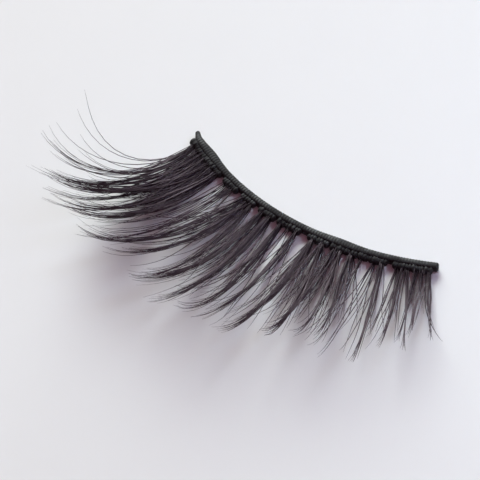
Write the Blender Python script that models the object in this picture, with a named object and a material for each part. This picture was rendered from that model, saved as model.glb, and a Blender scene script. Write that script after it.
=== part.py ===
"""False eyelash strip for the right eye: a curved cotton band and a fringe of sixteen lash clusters.

The band stands on its lower edge along a bow made of two arcs. Each cluster is a root knot at the
front of the band with three locks fused to it. A lock dips from the root until its belly lies on
the floor, then curls up to its tip. The locks are short at the inner corner of the eye and long,
swept and strongly curled at the outer corner.

Frame: origin under the middle of the band, +X to the inner corner, -Y out along the lashes, +Z up.
"""

import math
from dataclasses import dataclass

import bmesh
import bpy
from mathutils import Matrix, Vector

MM = 0.001

# Driving dimensions of the band, in millimetres
BAND_DEPTH = 0.85  # front to back
BAND_HEIGHT = 1.00
BAND_CHAMFER = 0.20
BOW_DEPTH = 3.5  # how far both ends stand back from the middle
OUTER_REACH = 14.7  # from the middle to the outer corner, along X
INNER_REACH = 16.3  # from the middle to the inner corner, along X
BAND_STEPS = 16  # facets along each arc

# How the band ends at each corner: how far beyond the arc in mm, and size against its full section
OUTER_END = ((0.55, 0.38), (0.0, 0.74))
INNER_END = ((0.40, 1.0), (0.52, 0.76))

# Driving dimensions of a cluster, in millimetres
SEAT_GAP = 0.12  # between the band's front and a root knot
KNOT_DEPTH = 0.50
KNOT_HEIGHT = 0.62
KNOT_BEVEL = 0.12
ROOT_HEIGHT = 0.56  # of the locks' centre line, where they leave the knot
BELLY_HEIGHT = 0.116  # of the centre line, where the lock lies on the floor
LOCK_WIDTH = 0.44  # at the root, as a share of the cluster's width
LOCK_THICKNESS = 0.32  # at the root
TIP_SHARE = 0.16  # of the root's width and thickness that is left at the tip
TAPER_POWER = 1.8  # a lock stays full near its root and thins towards its tip
CURL_POWER = 1.5  # a lash is straighter near its root than near its tip
LOCK_SIDES = 6
LOCK_STEPS = 12


@dataclass(frozen=True)
class Cluster:
    """One cluster: its place along the band and the way its lashes grow."""

    place: float  # along the band from its middle, + to the inner corner, mm
    width: float  # of the root knot, mm
    heading: float  # at the root, from -Y towards the outer corner, degrees
    sweep: float  # how far the lash turns outwards by its tip, degrees
    length: float  # of the longest lock, mm
    curl: float  # the tip's angle above the floor, degrees
    fan: float  # between the middle lock and a side lock, degrees


@dataclass(frozen=True)
class Lock:
    """One lock of a cluster, relative to the cluster."""

    side: float  # of its root from the knot's middle, as a share of the knot's width
    fan: float  # share of the cluster's fan that is added to the heading
    length: float  # as a share of the cluster's length


CLUSTERS = (
    Cluster(15.7, 1.35, -31, -8, 11.4, 50, 5.0),
    Cluster(13.7, 1.40, -25, -6, 12.3, 50, 5.0),
    Cluster(10.9, 1.30, -19, -3, 13.8, 51, 5.0),
    Cluster(8.4, 0.90, -16, -2, 15.0, 52, 2.5),
    Cluster(6.7, 1.20, -12, 0, 15.8, 52, 4.0),
    Cluster(4.1, 1.50, -7, 1, 17.0, 53, 5.0),
    Cluster(1.7, 0.90, -3, 2, 17.8, 54, 2.5),
    Cluster(-0.2, 0.80, 0, 3, 18.0, 55, 2.0),
    Cluster(-1.7, 0.80, 1.5, 5, 18.2, 56, 2.0),
    Cluster(-3.1, 1.10, 4, 8, 18.4, 57, 3.0),
    Cluster(-5.0, 1.60, 9, 13, 18.6, 59, 4.0),
    Cluster(-7.2, 1.30, 12, 20, 18.7, 62, 3.5),
    Cluster(-9.3, 1.25, 13, 27, 19.0, 65, 3.0),
    Cluster(-11.1, 1.15, 15.5, 35, 19.5, 70, 2.5),
    Cluster(-12.7, 1.15, 17, 44, 20.0, 77, 2.0),
    Cluster(-14.2, 1.00, 18, 62, 19.5, 90, 2.0),
)
LOCKS = (
    Lock(-0.28, 1, 0.86),
    Lock(0.0, 0, 1.0),
    Lock(0.28, -1, 0.92),
)


def clear_scene():
    """Remove every object of the startup scene."""
    for item in list(bpy.data.objects):
        bpy.data.objects.remove(item, do_unlink=True)


def surface(name, colour, roughness):
    """A Principled material of one colour."""
    made = bpy.data.materials.new(name)
    made.use_nodes = True
    shader = made.node_tree.nodes["Principled BSDF"]
    shader.inputs["Base Color"].default_value = (*colour, 1.0)
    shader.inputs["Roughness"].default_value = roughness
    shader.inputs["Metallic"].default_value = 0.0
    return made


def add_object(name, mesh_builder, material=None):
    """Link a new object whose mesh is written by a bmesh."""
    mesh = bpy.data.meshes.new(name)
    bmesh.ops.recalc_face_normals(mesh_builder, faces=mesh_builder.faces)
    mesh_builder.to_mesh(mesh)
    mesh_builder.free()
    made = bpy.data.objects.new(name, mesh)
    if material is not None:
        mesh.materials.append(material)
    mesh.shade_smooth()
    mesh.set_sharp_from_angle(angle=math.radians(35))
    bpy.context.scene.collection.objects.link(made)
    return made


def arc_radius(reach):
    """Radius in mm of the arc that runs from the band's middle out to an end."""
    return (reach * reach + BOW_DEPTH * BOW_DEPTH) / (2 * BOW_DEPTH)


def arc_length(reach):
    """Length in mm of that arc."""
    radius = arc_radius(reach)
    return radius * math.asin(reach / radius)


def band_station(place):
    """The turn of the band about Z, in radians, and its centre point in mm at floor level."""
    radius = arc_radius(INNER_REACH if place > 0 else OUTER_REACH)
    turn = place / radius
    return turn, Vector((radius * math.sin(turn), radius * (1 - math.cos(turn)), 0))


def ring(builder, place):
    """The edges of one lock section: a closed loop of unit radius, moved by a matrix."""
    verts = bmesh.ops.create_circle(builder, segments=LOCK_SIDES, radius=1.0, matrix=place)["verts"]
    return [builder.edges.get(pair) for pair in zip(verts, verts[1:] + verts[:1])]


def loft(builder, loops):
    """Join a row of loops into one closed skin with a cap on each end."""
    for before, after in zip(loops, loops[1:]):
        bmesh.ops.bridge_loops(builder, edges=before + after)
    bmesh.ops.edgeloop_fill(builder, edges=loops[0] + loops[-1])


def band_section(builder, place, share=1.0):
    """One eight-sided loop of the band, chamfered at its corners, as a list of edges."""
    turn, centre = band_station(place)
    half_depth, half_height = share * BAND_DEPTH / 2, share * BAND_HEIGHT / 2
    chamfer = share * BAND_CHAMFER
    outline = (
        (half_depth, half_height - chamfer),
        (half_depth - chamfer, half_height),
        (chamfer - half_depth, half_height),
        (-half_depth, half_height - chamfer),
        (-half_depth, chamfer - half_height),
        (chamfer - half_depth, -half_height),
        (half_depth - chamfer, -half_height),
        (half_depth, chamfer - half_height),
    )
    turned = Matrix.Rotation(turn, 3, "Z")
    verts = [
        builder.verts.new((centre + turned @ Vector((0, y, z + BAND_HEIGHT / 2))) * MM)
        for y, z in outline
    ]
    return [builder.edges.new(pair) for pair in zip(verts, verts[1:] + verts[:1])]


def make_band(material):
    """The cotton band: a chamfered cord that stands on edge along the bow."""
    outer, inner = -arc_length(OUTER_REACH), arc_length(INNER_REACH)
    outward = [outer * (BAND_STEPS - i) / BAND_STEPS for i in range(1, BAND_STEPS)]
    inward = [inner * i / BAND_STEPS for i in range(BAND_STEPS + 1)]
    builder = bmesh.new()
    loops = [band_section(builder, outer - beyond, share) for beyond, share in OUTER_END]
    loops += [band_section(builder, place) for place in outward + inward]
    loops += [band_section(builder, inner + beyond, share) for beyond, share in INNER_END]
    loft(builder, loops)
    return add_object("band", builder, material)


def dip_angle(length, curl):
    """How steeply in radians a lash dips at its root for its belly to come down to the floor.

    The angle above the floor goes from -dip to the curl as t ** CURL_POWER, so the lash has
    fallen by drop_share * dip * length * (dip / curl) ** (1 / CURL_POWER) where it is level.
    """
    fall = ROOT_HEIGHT - BELLY_HEIGHT
    drop_share = CURL_POWER / (1 + CURL_POWER)
    power = 1 / CURL_POWER
    return (fall * curl**power / (drop_share * length)) ** (1 / (1 + power))


def lash_line(length, sweep, curl):
    """Points in mm along a lash that starts at the origin and heads for -Y, and its frame at each.

    A frame's local Z runs along the lash, and its local X is level.
    """
    dip = dip_angle(length, curl)
    points, frames = [Vector((0, 0, 0))], []
    for i in range(LOCK_STEPS):
        share = (i + 0.5) / LOCK_STEPS
        pitch = (curl + dip) * share**CURL_POWER - dip
        turned = Matrix.Rotation(-sweep * share, 3, "Z")
        frames.append(turned @ Matrix.Rotation(math.pi / 2 - pitch, 3, "X"))
        points.append(points[-1] + frames[-1] @ Vector((0, 0, length / LOCK_STEPS)))
    frames.append(frames[-1])
    return points, frames


def make_lock(name, cluster, lock, start):
    """A tapered lock that starts inside the knot, in the cluster's own frame."""
    length = cluster.length * lock.length
    points, frames = lash_line(length, math.radians(cluster.sweep), math.radians(cluster.curl))
    fanned = Matrix.Rotation(math.radians(-lock.fan * cluster.fan), 4, "Z")
    width = LOCK_WIDTH * cluster.width
    builder = bmesh.new()
    loops = []
    for i, (point, frame) in enumerate(zip(points, frames)):
        size = 1 - (1 - TIP_SHARE) * (i / LOCK_STEPS) ** TAPER_POWER
        section = Matrix.Diagonal((width * size / 2, LOCK_THICKNESS * size / 2, 1, 1))
        centre = Matrix.Translation(start) @ fanned @ Matrix.Translation(point)
        loops.append(ring(builder, Matrix.Scale(MM, 4) @ centre @ frame.to_4x4() @ section))
    loft(builder, loops)
    made = add_object(name, builder)
    made.hide_render = True
    made.display_type = "WIRE"
    return made


def make_knot(name, cluster, twist, material):
    """The root knot: a rounded bar that runs along the band's front, in the cluster's own frame."""
    size = Matrix.Diagonal((cluster.width * MM, KNOT_DEPTH * MM, KNOT_HEIGHT * MM, 1))
    builder = bmesh.new()
    bmesh.ops.create_cube(builder, size=1, matrix=Matrix.Rotation(twist, 4, "Z") @ size)
    bmesh.ops.bevel(
        builder,
        geom=builder.edges[:],
        offset=KNOT_BEVEL * MM,
        segments=1,
        affect="EDGES",
        profile=0.5,
        material=-1,
    )
    return add_object(name, builder, material)


def make_cluster(number, cluster, material):
    """A knot on the band's front with its three locks fused to it."""
    name = f"cluster_{number:02d}"
    turn, centre = band_station(cluster.place)
    from_centre = BAND_DEPTH / 2 + SEAT_GAP + KNOT_DEPTH / 2
    outward = Matrix.Rotation(turn, 3, "Z") @ Vector((0, -1, 0))
    heading = math.radians(cluster.heading)
    knot = make_knot(name, cluster, turn + heading, material)
    knot.location = (centre + outward * from_centre + Vector((0, 0, ROOT_HEIGHT))) * MM
    knot.rotation_euler = (0, 0, -heading)
    along_knot = Matrix.Rotation(turn + heading, 3, "Z") @ Vector((1, 0, 0))
    for letter, lock in zip("abc", LOCKS):
        start = along_knot * lock.side * cluster.width
        helper = make_lock(f"{name}_lock_{letter}", cluster, lock, start)
        helper.parent = knot
        fuse = knot.modifiers.new(f"fuse_{letter}", "BOOLEAN")
        fuse.operation = "UNION"
        fuse.solver = "EXACT"
        fuse.object = helper


def main():
    """Build the strip: the band, then its clusters from the inner to the outer corner."""
    clear_scene()
    cotton = surface("black_cotton", (0.012, 0.012, 0.013), 0.75)
    fibre = surface("black_lash_fibre", (0.010, 0.009, 0.011), 0.40)
    make_band(cotton)
    for number, cluster in enumerate(CLUSTERS, start=1):
        make_cluster(number, cluster, fibre)


main()
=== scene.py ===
"""The looks of a false eyelash strip: fine black fibres in tufts along a wound cotton band.

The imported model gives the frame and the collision. This script dresses it: one tuft of tapered
fibres stands for each lash cluster, and a band of wound thread with a row of root knots stands for
the plain one. Lengths are in millimetres here and turned to metres where a mesh is written.
"""

from __future__ import annotations

import logging
import math
from dataclasses import dataclass
from enum import Enum

import bmesh
import bpy
import numpy as np
from mathutils import Matrix, Vector

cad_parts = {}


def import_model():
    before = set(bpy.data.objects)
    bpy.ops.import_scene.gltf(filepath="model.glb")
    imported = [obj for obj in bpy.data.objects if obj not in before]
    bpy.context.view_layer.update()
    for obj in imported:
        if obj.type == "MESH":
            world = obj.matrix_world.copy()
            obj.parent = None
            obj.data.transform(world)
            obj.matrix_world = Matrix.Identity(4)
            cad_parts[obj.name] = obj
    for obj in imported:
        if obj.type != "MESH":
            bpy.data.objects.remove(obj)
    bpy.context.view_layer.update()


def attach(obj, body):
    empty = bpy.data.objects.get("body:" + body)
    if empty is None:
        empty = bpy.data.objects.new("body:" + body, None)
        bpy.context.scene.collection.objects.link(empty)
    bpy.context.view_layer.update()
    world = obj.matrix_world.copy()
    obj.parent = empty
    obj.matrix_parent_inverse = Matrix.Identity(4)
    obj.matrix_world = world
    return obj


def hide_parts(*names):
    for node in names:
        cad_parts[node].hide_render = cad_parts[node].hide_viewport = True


log = logging.getLogger("lash_strip")

MM = 0.001

# Sockets of a Mix node that mixes colours
MIX_FIRST = 6
MIX_SECOND = 7
MIX_RESULT = 2

# Detail of a noise pattern
EVEN_NOISE = 2.0
CLOUDY_NOISE = 3.0


class Slot(Enum):
    """The record's material slots."""

    BAND = "band"
    LASH = "lash"


def linear(code: str) -> tuple[float, float, float, float]:
    """Turn an sRGB hex colour to linear RGBA, by the standard's own curve.

    Args:
        code: six hex digits after a hash sign.

    Returns:
        The colour as Blender's sockets want it.
    """
    shares = [int(code[i : i + 2], 16) / 255 for i in (1, 3, 5)]
    lit = [c / 12.92 if c <= 0.04045 else ((c + 0.055) / 1.055) ** 2.4 for c in shares]
    return (lit[0], lit[1], lit[2], 1.0)


def add_node(
    tree: bpy.types.NodeTree,
    kind: str,
    settings: dict[str, object] | None = None,
    values: dict[str | int, object] | None = None,
    links: dict[str | int, bpy.types.NodeSocket] | None = None,
) -> bpy.types.Node:
    """Add a node to a material with its settings and links.

    Args:
        tree: the material's node tree.
        kind: the node's type name.
        settings: the node's own properties.
        values: constants for its input sockets, by socket name or number.
        links: what feeds its input sockets, by socket name or number.

    Returns:
        The new node.
    """
    node = tree.nodes.new(kind)
    for name, value in (settings or {}).items():
        setattr(node, name, value)
    for name, value in (values or {}).items():
        node.inputs[name].default_value = value
    for name, source in (links or {}).items():
        tree.links.new(source, node.inputs[name])
    return node


def new_material(name: str) -> tuple[bpy.types.Material, bpy.types.Node]:
    """Make a material that holds a Principled shader and nothing else.

    Args:
        name: the real material's name.

    Returns:
        The material and its shader.
    """
    made = bpy.data.materials.new(name)
    made.use_nodes = True
    return made, made.node_tree.nodes["Principled BSDF"]


@dataclass(frozen=True)
class LashFibre:
    """Crimped and heat-curled PBT fibre, dyed black: satin, with tips that thin to a plum brown."""

    root: str = "#342c30"
    tip: str = "#452f3b"
    tip_power: float = 2.0  # how late along a fibre the tip's colour comes
    deep: str = "#292226"  # of the fibres that took the most dye
    mottle_mm: float = 0.6  # size of the glossier and duller patches
    roughness: float = 0.34
    smoother: float = 0.08  # less roughness in the glossiest patch
    rougher: float = 0.14  # more roughness in the dullest patch
    dulling: float = 0.35  # more roughness at the etched tips
    ior: float = 1.55
    shine: str = "#ffe2f2"  # the dye gives the shine a plum cast
    specular: float = 1.0
    tip_shine: float = 0.3  # share of the shine that is left at the tips
    glued_share: float = 0.30  # of a fibre, from its root, that the glue dulls
    glued_shine: float = 0.15  # share of the shine that the glue leaves

    def material(self) -> bpy.types.Material:
        """Make the fibre's material, which reads how far along its fibre a point lies."""
        made, shader = new_material("black_pbt_lash_fibre")
        tree = made.node_tree
        reach = add_node(tree, "ShaderNodeAttribute", {"attribute_name": "reach"})
        tone = add_node(tree, "ShaderNodeAttribute", {"attribute_name": "tone"})
        thinning = add_node(
            tree,
            "ShaderNodeMath",
            {"operation": "POWER"},
            values={1: self.tip_power},
            links={0: reach.outputs["Fac"]},
        )
        along = add_node(
            tree,
            "ShaderNodeMix",
            {"data_type": "RGBA"},
            values={MIX_FIRST: linear(self.root), MIX_SECOND: linear(self.tip)},
            links={"Factor": thinning.outputs["Value"]},
        )
        dyed = add_node(
            tree,
            "ShaderNodeMix",
            {"data_type": "RGBA"},
            values={MIX_FIRST: linear(self.deep)},
            links={"Factor": tone.outputs["Fac"], MIX_SECOND: along.outputs[MIX_RESULT]},
        )
        tree.links.new(dyed.outputs[MIX_RESULT], shader.inputs["Base Color"])
        place = add_node(tree, "ShaderNodeTexCoord")
        mottle = add_node(
            tree,
            "ShaderNodeTexNoise",
            values={"Scale": 1 / (self.mottle_mm * MM), "Detail": EVEN_NOISE},
            links={"Vector": place.outputs["Object"]},
        )
        gloss = add_node(
            tree,
            "ShaderNodeMapRange",
            values={
                "To Min": self.roughness - self.smoother,
                "To Max": self.roughness + self.rougher,
            },
            links={"Value": mottle.outputs["Fac"]},
        )
        dulled = add_node(
            tree,
            "ShaderNodeMath",
            {"operation": "MULTIPLY_ADD"},
            values={1: self.dulling},
            links={0: reach.outputs["Fac"], 2: gloss.outputs["Result"]},
        )
        tree.links.new(dulled.outputs["Value"], shader.inputs["Roughness"])
        sheen = add_node(
            tree,
            "ShaderNodeMapRange",
            values={"To Min": self.specular, "To Max": self.specular * self.tip_shine},
            links={"Value": reach.outputs["Fac"]},
        )
        glued = add_node(
            tree,
            "ShaderNodeMapRange",
            values={"From Max": self.glued_share, "To Min": self.glued_shine},
            links={"Value": reach.outputs["Fac"]},
        )
        shine = add_node(
            tree,
            "ShaderNodeMath",
            {"operation": "MULTIPLY"},
            links={0: sheen.outputs["Result"], 1: glued.outputs["Result"]},
        )
        tree.links.new(shine.outputs["Value"], shader.inputs["Specular IOR Level"])
        shader.inputs["Specular Tint"].default_value = linear(self.shine)
        shader.inputs["IOR"].default_value = self.ior
        return made


@dataclass(frozen=True)
class CottonThread:
    """Black mercerised cotton under lash glue: matt and fuzzy, with a dull shine in places."""

    dark: str = "#131113"
    worn: str = "#2b292b"
    fuzz_mm: float = 0.05  # coarser than cotton's own fuzz, which wouldn't show
    fuzz_height: float = 0.01  # mm
    fuzz_strength: float = 0.5
    roughness: float = 0.82
    glued_roughness: float = 0.55
    glue_mm: float = 1.6  # size of the patches of glue
    glue_from: float = 0.42  # value of their noise where the glue begins to cover the thread
    glue_to: float = 0.62  # and where it covers it
    specular: float = 0.35

    def material(self) -> bpy.types.Material:
        """Make the thread's material."""
        made, shader = new_material("black_cotton_thread")
        tree = made.node_tree
        place = add_node(tree, "ShaderNodeTexCoord")
        glue = add_node(
            tree,
            "ShaderNodeTexNoise",
            values={"Scale": 1 / (self.glue_mm * MM), "Detail": CLOUDY_NOISE},
            links={"Vector": place.outputs["Object"]},
        )
        fuzz = add_node(
            tree,
            "ShaderNodeTexNoise",
            values={"Scale": 1 / (self.fuzz_mm * MM), "Detail": EVEN_NOISE},
            links={"Vector": place.outputs["Object"]},
        )
        shade = add_node(
            tree,
            "ShaderNodeMix",
            {"data_type": "RGBA"},
            values={MIX_FIRST: linear(self.dark), MIX_SECOND: linear(self.worn)},
            links={"Factor": fuzz.outputs["Fac"]},
        )
        tree.links.new(shade.outputs[MIX_RESULT], shader.inputs["Base Color"])
        rough = add_node(
            tree,
            "ShaderNodeMapRange",
            values={
                "From Min": self.glue_from,
                "From Max": self.glue_to,
                "To Min": self.roughness,
                "To Max": self.glued_roughness,
            },
            links={"Value": glue.outputs["Fac"]},
        )
        tree.links.new(rough.outputs["Result"], shader.inputs["Roughness"])
        bump = add_node(
            tree,
            "ShaderNodeBump",
            values={"Strength": self.fuzz_strength, "Distance": self.fuzz_height * MM},
            links={"Height": fuzz.outputs["Fac"]},
        )
        tree.links.new(bump.outputs["Normal"], shader.inputs["Normal"])
        shader.inputs["Specular IOR Level"].default_value = self.specular
        return made


@dataclass(frozen=True)
class PaleCard:
    """Smooth calendered card, faintly cool: matt, with the slightest cloudiness of its pulp."""

    colour: str = "#eff0f0"
    cloud: str = "#edeeee"
    cloud_mm: float = 9.0  # size of the clouds in the pulp
    roughness: float = 0.7

    def material(self) -> bpy.types.Material:
        """Make the card's material."""
        made, shader = new_material("pale_card")
        tree = made.node_tree
        place = add_node(tree, "ShaderNodeTexCoord")
        pulp = add_node(
            tree,
            "ShaderNodeTexNoise",
            values={"Scale": 1 / (self.cloud_mm * MM), "Detail": CLOUDY_NOISE},
            links={"Vector": place.outputs["Object"]},
        )
        shade = add_node(
            tree,
            "ShaderNodeMix",
            {"data_type": "RGBA"},
            values={MIX_FIRST: linear(self.colour), MIX_SECOND: linear(self.cloud)},
            links={"Factor": pulp.outputs["Fac"]},
        )
        tree.links.new(shade.outputs[MIX_RESULT], shader.inputs["Base Color"])
        shader.inputs["Roughness"].default_value = self.roughness
        return made


@dataclass(frozen=True)
class Bow:
    """The band's centre line: two arcs that meet at the origin."""

    depth: float = 3.5  # of the ends behind the middle, mm
    outer_reach: float = 14.7  # of the outer end along X, mm
    inner_reach: float = 16.3  # of the inner end, mm

    def radius(self, reach: float) -> float:
        """The radius of the arc that runs out to an end."""
        return (reach * reach + self.depth * self.depth) / (2 * self.depth)

    def arc(self, reach: float) -> float:
        """The length of that arc."""
        return self.radius(reach) * math.asin(reach / self.radius(reach))

    def stations(self, places: np.ndarray) -> tuple[np.ndarray, np.ndarray]:
        """Find points along the bow.

        Args:
            places: distances along the bow from its middle, + to the inner corner.

        Returns:
            The points at floor level, and the bow's turn about Z at each.
        """
        radius = np.where(places > 0, self.radius(self.inner_reach), self.radius(self.outer_reach))
        turn = places / radius
        points = np.stack([radius * np.sin(turn), radius * (1 - np.cos(turn)), 0 * turn], axis=-1)
        return points, turn


def write_piece(
    name: str, builder: bmesh.types.BMesh, material: bpy.types.Material
) -> bpy.types.Object:
    """Turn a bmesh in millimetres into a smooth piece in metres.

    Args:
        name: the piece's name.
        builder: the shape, which is freed here.
        material: its finish.

    Returns:
        The new piece.
    """
    bmesh.ops.scale(builder, vec=(MM, MM, MM), verts=builder.verts)
    mesh = bpy.data.meshes.new(name)
    builder.to_mesh(mesh)
    builder.free()
    mesh.shade_smooth()
    mesh.materials.append(material)
    piece = bpy.data.objects.new(name, mesh)
    bpy.context.scene.collection.objects.link(piece)
    return piece


def settle(piece: bpy.types.Object, slot: Slot, *nodes: str) -> None:
    """Fix a piece to the strip's only body and report it.

    Args:
        piece: the finished piece.
        slot: the record's slot; not used.
        nodes: the CAD nodes that it stands for.
    """
    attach(piece, "root")
    if nodes:
        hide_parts(*nodes)
    log.info("%s: %d faces, stands for %s", piece.name, len(piece.data.polygons), nodes or "nothing")


@dataclass(frozen=True)
class FibreShape:
    """One straight fibre of unit length and radius, which every fibre of a tuft is bent from."""

    sides: int = 4
    lengths: int = 13  # straight steps along it

    def template(self) -> tuple[np.ndarray, np.ndarray]:
        """Make the fibre as a closed prism.

        Returns:
            Its vertices, with the way along the fibre in the last column, and its four-sided faces.
        """
        builder = bmesh.new()
        rim = bmesh.ops.create_circle(builder, cap_ends=True, segments=self.sides, radius=1.0)
        face = rim["verts"][0].link_faces[0]
        bmesh.ops.reverse_faces(builder, faces=[face])
        cap = bmesh.ops.extrude_face_region(builder, geom=[face], use_keep_orig=True)["geom"]
        raised = [item for item in cap if isinstance(item, bmesh.types.BMVert)]
        bmesh.ops.translate(builder, vec=(0, 0, 1), verts=raised)
        for i in range(1, self.lengths):
            level = (0, 0, i / self.lengths)
            everything = builder.verts[:] + builder.edges[:] + builder.faces[:]
            bmesh.ops.bisect_plane(builder, geom=everything, plane_co=level, plane_no=(0, 0, 1))
        bmesh.ops.recalc_face_normals(builder, faces=builder.faces)
        builder.verts.index_update()
        points = np.array([vert.co[:] for vert in builder.verts])
        faces = np.array([[vert.index for vert in face.verts] for face in builder.faces])
        builder.free()
        return points, faces


@dataclass(frozen=True)
class Growth:
    """How a set of fibres grows: one number or an array for each property, one entry a fibre."""

    place: np.ndarray  # of the root along the bow, mm
    height: np.ndarray  # of the root above the floor, mm
    heading: np.ndarray  # at the root, from -Y to the outer corner, degrees
    sweep: np.ndarray  # turn to the outer corner by the tip, degrees
    length: np.ndarray  # mm
    rise: float  # angle of the root above the floor where it doesn't dip, degrees
    curl: np.ndarray  # angle of the tip above the floor, degrees
    sink: np.ndarray  # 1 where the fibre's belly lies on the floor, 0 where it doesn't dip
    bend: float  # how late along the fibre it curls: 1 is an even arc
    wave: np.ndarray  # how far the fibre sways sideways along its length, degrees
    phase: np.ndarray  # where in its sway it starts, radians
    belly: float = 0.07  # lowest height of a fibre's centre line, mm
    waves: float = 1.3  # sways along a fibre

    def dip(self) -> np.ndarray:
        """How steeply each fibre dips at its root, in radians: less than 0 where it rises."""
        curl = np.radians(self.curl)
        drop_share = self.bend / (1 + self.bend)
        power = 1 / self.bend
        fall = np.maximum(self.height - self.belly, 0)
        steepest = (fall * curl**power / (drop_share * self.length)) ** (1 / (1 + power))
        return self.sink * steepest - (1 - self.sink) * math.radians(self.rise)

    def paths(self, bow: Bow, front: float, steps: int) -> np.ndarray:
        """Work out the fibres' centre lines.

        Args:
            bow: the band's centre line.
            front: how far the roots lie in front of it.
            steps: how many straight steps make a fibre.

        Returns:
            Points as an array of fibre, step and coordinate.
        """
        centre, turn = bow.stations(self.place)
        outward = np.stack([np.sin(turn), -np.cos(turn), 0 * turn], axis=-1)
        root = centre + outward * front
        root[:, 2] = self.height
        share = (np.arange(steps) + 0.5) / steps
        dip = self.dip()[:, None]
        pitch = (np.radians(self.curl)[:, None] + dip) * share**self.bend - dip
        sway = self.wave[:, None] * np.sin(self.waves * math.tau * share + self.phase[:, None])
        heading = np.radians(self.heading[:, None] + self.sweep[:, None] * share + sway)
        level = np.cos(pitch)
        step = np.stack([-np.sin(heading) * level, -np.cos(heading) * level, np.sin(pitch)], axis=-1)
        walked = np.cumsum(step * (self.length / steps)[:, None, None], axis=1)
        return np.concatenate([root[:, None], root[:, None] + walked], axis=1)


@dataclass(frozen=True)
class Tuft:
    """A tuft of a lash cluster: where it is tied to the band and how its fibres grow."""

    cluster: int  # number of the cluster that it stands for
    place: float  # of its middle along the bow, mm
    spread: float  # of its roots along the bow, mm
    spiked: int  # long fibres that gather to points
    loose: int  # fibres that cross them
    spikes: int  # points
    heading: float  # this and the next four: as in Growth
    sweep: float
    length: float
    rise: float
    curl: float
    fan: float  # degrees between its outermost points
    stray: float  # spread of the loose fibres' headings, degrees
    knot: float = 0.5  # share of a point's room along the band that its roots fill
    bend: float = 1.4  # as in Growth


# Cluster, place, spread, spiked, loose, spikes, heading, sweep, length, rise, curl, fan, stray,
# and the knot and the bend where they aren't the usual ones
TUFTS = (
    Tuft(1, 15.7, 1.8, 26, 11, 3, -26, -8, 12.2, 3, 52, 17, 7, 0.7),
    Tuft(2, 13.6, 1.6, 20, 10, 3, -21, -6, 14.0, 3, 52, 14, 8, 0.6),
    Tuft(3, 11.0, 1.5, 14, 10, 2, -17, -3, 16.6, 3, 53, 12, 8, 0.4),
    Tuft(4, 9.4, 0.8, 2, 3, 1, -16, -2, 17.0, 3, 54, 0, 7, 1.0),
    Tuft(4, 8.0, 1.0, 13, 9, 1, -16, -2, 17.4, 3, 54, 0, 8),
    Tuft(5, 6.5, 1.2, 34, 18, 2, -13, 0, 18.5, 3, 54, 11, 8),
    Tuft(6, 4.8, 0.9, 25, 14, 1, -10, 0, 19.1, 3, 55, 0, 10),
    Tuft(6, 3.6, 0.8, 28, 15, 1, -6, 1, 19.4, 3, 55, 0, 10),
    Tuft(7, 1.6, 0.6, 16, 10, 1, -3, 2, 20.0, 3, 55, 0, 5),
    Tuft(8, 0.6, 0.4, 1, 2, 1, -2, 3, 18.7, 3, 55, 0, 5, 1.0),
    Tuft(8, -0.3, 0.6, 16, 10, 1, 0, 3, 20.6, 3, 56, 0, 5),
    Tuft(9, -1.8, 0.8, 24, 16, 1, 1, 5, 21.0, 3, 57, 0, 6),
    Tuft(10, -2.8, 0.7, 26, 16, 1, 4, 8, 21.4, 3, 58, 0, 7),
    Tuft(11, -4.9, 1.6, 46, 28, 3, 10, 14, 21.3, 3, 60, 15, 9),
    Tuft(12, -7.2, 1.0, 6, 5, 1, 15, 12, 20.4, 4, 54, 0, 6, 0.7),
    Tuft(12, -8.0, 0.9, 7, 3, 2, 15, 20, 20.4, 4, 60, 5, 4),
    Tuft(13, -10.0, 1.0, 28, 12, 3, 18, 28, 20.4, 4, 60, 12, 5, 0.8),
    Tuft(14, -11.3, 1.4, 42, 18, 4, 14, 32, 20.4, 4, 60, 15, 7, 1.0),
    Tuft(15, -12.7, 1.4, 40, 16, 4, 12, 37, 20.4, 4, 63, 13, 6, 1.0),
    Tuft(16, -13.9, 1.1, 20, 8, 2, 10, 42, 20.4, 4, 66, 8, 4, 1.0),
    Tuft(16, -14.0, 0.7, 8, 2, 2, 10, 58, 20.9, 4, 80, 8, 3, 1.0),
    Tuft(16, -14.3, 0.4, 3, 0, 3, 9, 86, 20.9, 4, 88, 9, 0, 1.0, 1.7),
    Tuft(16, -14.5, 0.3, 2, 0, 2, 8, 122, 19.8, 4, 84, 7, 0, 1.0, 1.9),
    Tuft(16, -14.6, 0.2, 1, 0, 1, 8, 165, 19.4, 2, 96, 5, 0, 1.0, 2.0),
)


@dataclass(frozen=True)
class Scatter:
    """How uneven the fibres are: a pair is a range of even chance, a single value a deviation."""

    point_heading: float = 1.4  # degrees
    point_sweep: float = 2.0  # degrees
    point_length: tuple[float, float] = (0.92, 1.05)  # shares of the tuft's
    point_curl: tuple[float, float] = (0.88, 1.12)  # shares of the tuft's
    point_sink: tuple[float, float] = (0.0, 0.6)
    spiked_length: tuple[float, float] = (0.76, 1.05)  # shares of the point's
    loose_length: tuple[float, float] = (0.40, 0.96)  # shares of the point's
    height: tuple[float, float] = (0.18, 0.84)  # of a root, mm
    heading: float = 4.0  # from the point's, degrees
    sweep: float = 13.0  # from the tuft's, degrees
    curl: tuple[float, float] = (0.75, 1.2)  # shares of the point's
    sink: tuple[float, float] = (0.0, 0.9)
    wave: float = 4.0  # degrees
    thickness: tuple[float, float] = (0.72, 1.12)  # shares of the usual one
    tone: tuple[float, float] = (0.1, 1.0)  # 0 takes the most dye


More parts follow.
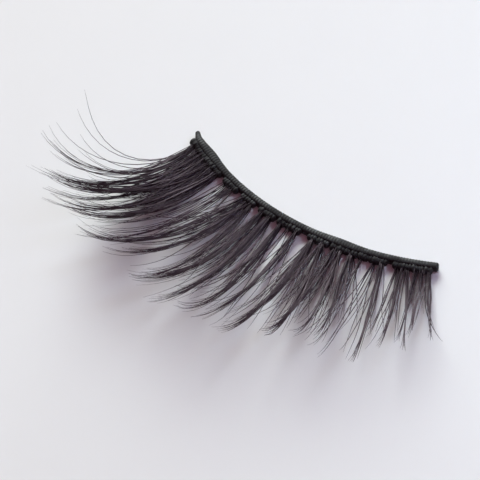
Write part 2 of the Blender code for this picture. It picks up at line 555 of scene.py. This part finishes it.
@dataclass(frozen=True)
class Fringe:
    """The lashes: sixteen clusters of fibres that thin to a point."""

    bow: Bow
    shape: FibreShape
    scatter: Scatter = Scatter()
    front: float = 0.32  # of the roots, inside the band's front face, mm
    point_height: float = 0.5  # of the root of a point's middle line, mm
    thickness: float = 0.112  # of a fibre at its root, mm
    tip_share: float = 0.16  # of that thickness at the tip
    taper_power: float = 2.2  # how late along a fibre it thins
    gather: float = 0.96  # how far a spiked fibre is drawn to its point
    gathered_by: float = 0.55  # share of its length by which it is
    gather_power: float = 1.1  # how slowly that starts
    fray: float = 0.14  # how much of that it loses again by its tip
    fray_power: int = 3  # how late it does
    packing: float = 0.075  # how far fibres lie apart where the tuft is thickest, mm
    packing_power: float = 0.8  # below 1 that place is nearer to the roots than to the tips
    clearance: float = 0.01  # of a fibre above the floor, mm
    seed: int = 20

    def growth(self, tuft: Tuft, draw: np.random.Generator) -> tuple[Growth, Growth]:
        """Work out how a tuft's fibres and their points grow.

        Args:
            tuft: the tuft.
            draw: where random numbers come from.

        Returns:
            The growth of the fibres, spiked ones first, and that of the point that each belongs to.
        """
        uneven = self.scatter
        spikes = tuft.spikes
        order = np.linspace(-0.5, 0.5, spikes)
        point_place = tuft.place - order * tuft.spread * (1 - 1 / spikes)
        point_heading = tuft.heading + order * tuft.fan + draw.normal(0, uneven.point_heading, spikes)
        point_sweep = tuft.sweep + draw.normal(0, uneven.point_sweep, spikes)
        point_length = tuft.length * draw.uniform(*uneven.point_length, spikes)
        point_curl = tuft.curl * draw.uniform(*uneven.point_curl, spikes)
        point_sink = draw.uniform(*uneven.point_sink, spikes)
        total = tuft.spiked + tuft.loose
        spiked = np.arange(total) < tuft.spiked
        own = draw.integers(0, spikes, total)
        own[:spikes] = np.arange(min(spikes, total))
        spiked_length = draw.uniform(*uneven.spiked_length, total)
        loose_length = draw.uniform(*uneven.loose_length, total)
        scale = np.where(spiked, spiked_length, loose_length)
        room = tuft.spread / spikes
        root = point_place[own] + draw.uniform(-0.5, 0.5, total) * room * tuft.knot
        height = draw.uniform(*uneven.height, total)
        none = np.zeros(total)
        points = Growth(
            place=point_place[own],
            height=np.full(total, self.point_height),
            heading=point_heading[own],
            sweep=point_sweep[own] * scale,
            length=point_length[own] * scale,
            rise=tuft.rise,
            curl=point_curl[own] * scale,
            sink=point_sink[own],
            bend=tuft.bend,
            wave=none,
            phase=none,
        )
        own_heading = point_heading[own] + draw.normal(0, uneven.heading, total)
        stray_heading = tuft.heading + draw.normal(0, 1, total) * tuft.stray
        fibres = Growth(
            place=root,
            height=height,
            heading=np.where(spiked, own_heading, stray_heading),
            sweep=(tuft.sweep + draw.normal(0, uneven.sweep, total)) * scale,
            length=point_length[own] * scale,
            rise=tuft.rise,
            curl=point_curl[own] * scale * draw.uniform(*uneven.curl, total),
            sink=draw.uniform(*uneven.sink, total),
            bend=tuft.bend,
            wave=draw.normal(0, uneven.wave, total),
            phase=draw.uniform(0, math.tau, total),
        )
        return fibres, points

    def fibres(self, tuft: Tuft, draw: np.random.Generator) -> tuple[np.ndarray, np.ndarray]:
        """Draw a tuft's fibres.

        Args:
            tuft: the tuft.
            draw: where random numbers come from.

        Returns:
            Their centre lines, by fibre and step, and their radius at each step.
        """
        fibres, points = self.growth(tuft, draw)
        steps = self.shape.lengths
        share = np.linspace(0, 1, steps + 1)
        total = tuft.spiked + tuft.loose
        drawn_in = np.clip(share / self.gathered_by, 0, 1) ** self.gather_power
        pull = self.gather * drawn_in * (1 - self.fray * share**self.fray_power)
        pull = pull[None] * (np.arange(total) < tuft.spiked)[:, None]
        line = fibres.paths(self.bow, self.front, steps)
        gathered = points.paths(self.bow, self.front, steps)
        line = line + (gathered - line) * pull[:, :, None]
        apart = self.packing * draw.normal(0, 1, (total, 1, 3))
        line = line + apart * np.sin(np.pi * share**self.packing_power)[None, :, None]
        radius = self.thickness / 2 * draw.uniform(*self.scatter.thickness, (total, 1))
        radius = radius * (1 - (1 - self.tip_share) * share[None] ** self.taper_power)
        line[:, :, 2] = np.maximum(line[:, :, 2], radius + self.clearance)
        return line, radius

    def build_cluster(self, number: int, material: bpy.types.Material) -> bpy.types.Object:
        """Build one cluster as a joined mesh of bent fibres.

        Args:
            number: the cluster's number, from the inner corner.
            material: the fibres' finish.

        Returns:
            The cluster's piece.
        """
        draw = np.random.default_rng(self.seed + number)
        drawn = [self.fibres(tuft, draw) for tuft in TUFTS if tuft.cluster == number]
        line = np.concatenate([lines for lines, _ in drawn])
        radius = np.concatenate([radii for _, radii in drawn])
        return self.join(f"lash_tuft_{number:02d}", line, radius, draw, material)

    def join(
        self,
        name: str,
        line: np.ndarray,
        radius: np.ndarray,
        draw: np.random.Generator,
        material: bpy.types.Material,
    ) -> bpy.types.Object:
        """Bend a copy of the fibre's shape along each line and join them.

        Args:
            name: the piece's name.
            line: points by fibre and step.
            radius: the fibre's radius at each.
            draw: where random numbers come from.
            material: the finish.

        Returns:
            The joined piece.
        """
        total, count = radius.shape
        points, faces = self.shape.template()
        along = np.gradient(line, axis=1)
        along /= np.linalg.norm(along, axis=2, keepdims=True)
        chord = line[:, -1] - line[:, 0]
        level = np.stack([-chord[:, 1], chord[:, 0], 0 * chord[:, 2]], axis=-1)[:, None]
        across = level - along * np.sum(level * along, axis=2, keepdims=True)
        across /= np.linalg.norm(across, axis=2, keepdims=True)
        over = np.cross(along, across)
        ring = np.rint(points[:, 2] * (count - 1)).astype(int)
        offset = across[:, ring] * points[None, :, 0:1] + over[:, ring] * points[None, :, 1:2]
        bent = line[:, ring] + offset * radius[:, ring, None]
        mesh = bpy.data.meshes.new(name)
        shift = (np.arange(total) * len(points))[:, None, None]
        mesh.from_pydata(
            (bent.reshape(-1, 3) * MM).tolist(), [], (faces[None] + shift).reshape(-1, 4).tolist()
        )
        reach = mesh.attributes.new("reach", "FLOAT", "POINT")
        reach.data.foreach_set("value", np.tile(points[:, 2], total).astype(np.float32))
        tone = mesh.attributes.new("tone", "FLOAT", "POINT")
        shade = np.repeat(draw.uniform(*self.scatter.tone, total), len(points)).astype(np.float32)
        tone.data.foreach_set("value", shade)
        mesh.shade_smooth()
        mesh.materials.append(material)
        mesh.validate()
        piece = bpy.data.objects.new(name, mesh)
        bpy.context.scene.collection.objects.link(piece)
        return piece

    def build(self, material: bpy.types.Material) -> None:
        """Build every cluster and let it stand for the plain one."""
        for number in sorted({tuft.cluster for tuft in TUFTS}):
            piece = self.build_cluster(number, material)
            settle(piece, Slot.LASH, f"cluster_{number:02d}")


@dataclass(frozen=True)
class KnotRow:
    """The knots that tie the fibres to the band's front: small, uneven, sunk in glue."""

    bow: Bow
    front: float = 0.52  # of their middles, from the bow, mm
    pitch: float = 0.31  # between neighbours, mm
    size: tuple[float, float, float] = (0.30, 0.50, 0.42)  # half axes along, out and up, mm
    middle: float = 0.52  # height, mm
    shift_along: float = 0.05  # most that a knot lies out of place, mm
    shift_up: float = 0.04  # mm
    unlike: float = 0.12  # most that its size differs, as a share
    lean: float = 0.3  # most that it leans, radians
    around: int = 8
    rings: int = 5
    seed: int = 7

    def build(self, material: bpy.types.Material) -> bpy.types.Object:
        """Set a row of knots along each tuft's roots as one joined mesh."""
        draw = np.random.default_rng(self.seed)
        builder = bmesh.new()
        for tuft in TUFTS:
            count = max(2, round(tuft.spread / self.pitch) + 1)
            for place in np.linspace(-0.5, 0.5, count) * tuft.spread + tuft.place:
                self.add_knot(builder, float(place), draw)
        return write_piece("root_knots", builder, material)

    def add_knot(self, builder: bmesh.types.BMesh, place: float, draw: np.random.Generator) -> None:
        """Add one knot.

        Args:
            builder: the row so far.
            place: of the knot along the bow, mm.
            draw: where random numbers come from.
        """
        jitter = draw.uniform(-1, 1, 4)
        centre, turn = self.bow.stations(np.array([place + self.shift_along * jitter[0]]))
        outward = Vector((math.sin(turn[0]), -math.cos(turn[0]), 0)) * self.front
        spot = Vector(centre[0]) + outward + Vector((0, 0, self.middle + self.shift_up * jitter[1]))
        size = Vector(self.size) * (1 + self.unlike * jitter[2])
        stretch = Matrix.Diagonal(size).to_4x4()
        lean = Matrix.Rotation(self.lean * jitter[3], 4, "Y")
        placed = Matrix.Translation(spot) @ Matrix.Rotation(turn[0], 4, "Z") @ lean @ stretch
        bmesh.ops.create_uvsphere(
            builder, u_segments=self.around, v_segments=self.rings, radius=1.0, matrix=placed
        )


@dataclass(frozen=True)
class BandEnd:
    """One end of the band: how far it runs beyond the bow's end and how it thins."""

    beyond: float  # mm
    size: float  # of the tip, as a share of the full section
    length: float  # over which it fills out to the full section, mm
    power: float  # below 1 it fills out the most near its tip

    def taper(self, inside: np.ndarray) -> np.ndarray:
        """The band's size as a share of its full section, at distances inside the tip."""
        return self.size + (1 - self.size) * np.clip(inside / self.length, 0, 1) ** self.power


@dataclass(frozen=True)
class Swell:
    """A stretch where glue has built up at the band's back."""

    place: float  # of its middle along the bow, mm
    reach: float  # to each side, mm
    extra: float  # mm

    def at(self, place: np.ndarray) -> np.ndarray:
        """How much thicker the band is there, along its length."""
        return self.extra * np.exp(-(((place - self.place) / self.reach) ** 2))


@dataclass(frozen=True)
class WoundBand:
    """The band: a cotton core wound with thread all along, tapered at its outer end."""

    bow: Bow
    depth: float = 0.85  # mm
    height: float = 1.00  # mm
    outer: BandEnd = BandEnd(beyond=0.32, size=0.52, length=1.3, power=0.8)
    inner: BandEnd = BandEnd(beyond=0.52, size=0.70, length=0.22, power=0.5)
    swells: tuple[Swell, ...] = (Swell(-12.0, 1.9, 0.26), Swell(6.4, 2.2, 0.20))
    hook: float = 0.34  # how far the outer end turns to the back, mm
    hook_reach: float = 0.7  # of that turn along the band, mm
    squareness: float = 2.8  # power of the section's rounded rectangle
    thread: float = 0.32  # spacing of the winding, mm: coarser than real, so that it shows
    relief: float = 0.045  # of the winding, mm
    roundness: float = 0.7  # power of a thread's profile: the lower, the narrower the grooves
    sunk: float = 0.6  # share of the relief that lies below the band's own surface
    lean: float = 0.6  # of the winding, in threads for each half turn round the band
    stations: int = 1100
    sides: int = 24
    seam: float = 1e-5  # distance within which the grid's edges are merged, mm

    def build(self, material: bpy.types.Material) -> bpy.types.Object:
        """Bend a grid round the bow, close its seam and fill its ends."""
        builder = bmesh.new()
        bmesh.ops.create_grid(builder, x_segments=self.stations, y_segments=self.sides, size=0.5)
        flat = np.array([vert.co[:] for vert in builder.verts]) + 0.5
        start = -self.bow.arc(self.bow.outer_reach) - self.outer.beyond
        end = self.bow.arc(self.bow.inner_reach) + self.inner.beyond
        place = start + flat[:, 0] * (end - start)
        angle = math.tau * flat[:, 1]
        centre, turn = self.bow.stations(place)
        size = self.outer.taper(place - start) * self.inner.taper(end - place)
        swollen = sum(swell.at(place) for swell in self.swells)
        wound = place / self.thread + self.lean * np.sin(angle)
        rib = self.relief * (np.abs(np.cos(np.pi * wound)) ** self.roundness - self.sunk)
        power = 2 / self.squareness
        cosine, sine = np.cos(angle), np.sin(angle)
        back = np.sign(cosine) * np.abs(cosine) ** power * (self.depth / 2 * size + rib)
        back = back + swollen * np.clip(cosine, 0, 1)
        back = back + self.hook * np.exp(-(((place - start) / self.hook_reach) ** 2))
        rise = np.sign(sine) * np.abs(sine) ** power * (self.height / 2 * size + rib)
        middle = self.height / 2
        for i, vert in enumerate(builder.verts):
            vert.co = Vector(
                (
                    centre[i, 0] - math.sin(turn[i]) * back[i],
                    centre[i, 1] + math.cos(turn[i]) * back[i],
                    max(middle + rise[i], 0.0),
                )
            )
        bmesh.ops.remove_doubles(builder, verts=builder.verts, dist=self.seam)
        bmesh.ops.holes_fill(builder, edges=builder.edges, sides=self.sides + 1)
        bmesh.ops.recalc_face_normals(builder, faces=builder.faces)
        return write_piece("wound_band", builder, material)


@dataclass(frozen=True)
class SquareLight:
    """One square soft light: how it shines, where it hangs and what it faces."""

    name: str
    side: float  # m
    power: float  # W
    colour: str
    place: tuple[float, float, float]  # m
    aim: tuple[float, float, float] = (0.0, 0.0, 0.0)  # m
    spread: float = 180.0  # of its beam, degrees

    def hang(self) -> None:
        """Hang the light in the scene."""
        lamp = bpy.data.lights.new(self.name, "AREA")
        lamp.shape = "SQUARE"
        lamp.size = self.side
        lamp.energy = self.power
        lamp.color = linear(self.colour)[:3]
        lamp.spread = math.radians(self.spread)
        hung = bpy.data.objects.new(self.name, lamp)
        hung.location = self.place
        gaze = Vector(self.aim) - Vector(self.place)
        hung.rotation_euler = gaze.to_track_quat("-Z", "Y").to_euler()
        bpy.context.scene.collection.objects.link(hung)


# Name, side, power, colour and place, and for the narrow lamp its aim and spread
LIGHTS = (
    SquareLight("softbox_behind", 1.15, 49.2, "#f6fffc", (-0.96, 1.04, 0.66)),
    SquareLight("softbox_front", 0.90, 0.9, "#ffc6dc", (0.42, -0.25, 0.86)),
    SquareLight("lamp_right", 0.12, 0.024, "#cbe0ff", (0.30, 0.20, 0.34), (0.066, 0.042, 0.0), 24),
)


@dataclass(frozen=True)
class Stage:
    """The pale card, the lights and the camera."""

    card_side: float = 1.2  # m
    room_light: str = "#ffaac9"
    room_strength: float = 0.102
    lens_angle: float = 9.645  # degrees
    camera_mm: tuple[float, float, float] = (112.06, -117.02, 254.41)
    aim_mm: tuple[float, float, float] = (-2.61, -4.87, 1.0)
    roll: float = -11.44  # degrees

    def build(self, card: bpy.types.Material) -> None:
        """Lay the card, hang the lights and aim the camera."""
        builder = bmesh.new()
        bmesh.ops.create_grid(builder, x_segments=1, y_segments=1, size=self.card_side / 2 / MM)
        floor = write_piece("card_floor", builder, card)
        for light in LIGHTS:
            light.hang()
        self.fill_room()
        # The default transform would grey both the pale card and the black fibres
        bpy.context.scene.view_settings.view_transform = "Standard"
        self.aim_camera()

    def fill_room(self) -> None:
        """Fill the room with even light of one colour."""
        world = bpy.data.worlds.new("room")
        world.use_nodes = True
        backdrop = world.node_tree.nodes["Background"]
        backdrop.inputs["Color"].default_value = linear(self.room_light)
        backdrop.inputs["Strength"].default_value = self.room_strength
        bpy.context.scene.world = world

    def aim_camera(self) -> None:
        """Put the camera where the photograph was taken from, so that the strip fills the frame."""
        lens = bpy.data.cameras.new("camera")
        lens.angle = math.radians(self.lens_angle)
        camera = bpy.data.objects.new("camera", lens)
        place = Vector(self.camera_mm) * MM
        gaze = Vector(self.aim_mm) * MM - place
        level = gaze.to_track_quat("-Z", "Y").to_matrix()
        rolled = level @ Matrix.Rotation(math.radians(self.roll), 3, "Z")
        camera.matrix_world = Matrix.Translation(place) @ rolled.to_4x4()
        bpy.context.scene.collection.objects.link(camera)
        bpy.context.scene.camera = camera


def main() -> None:
    """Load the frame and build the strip's pieces in order."""
    logging.basicConfig(level=logging.INFO, format="%(name)s: %(message)s")
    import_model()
    bow = Bow()
    thread = CottonThread().material()
    settle(WoundBand(bow).build(thread), Slot.BAND, "band")
    settle(KnotRow(bow).build(thread), Slot.BAND)
    Fringe(bow, FibreShape()).build(LashFibre().material())
    Stage().build(PaleCard().material())


if __name__ == "__main__":
    main()
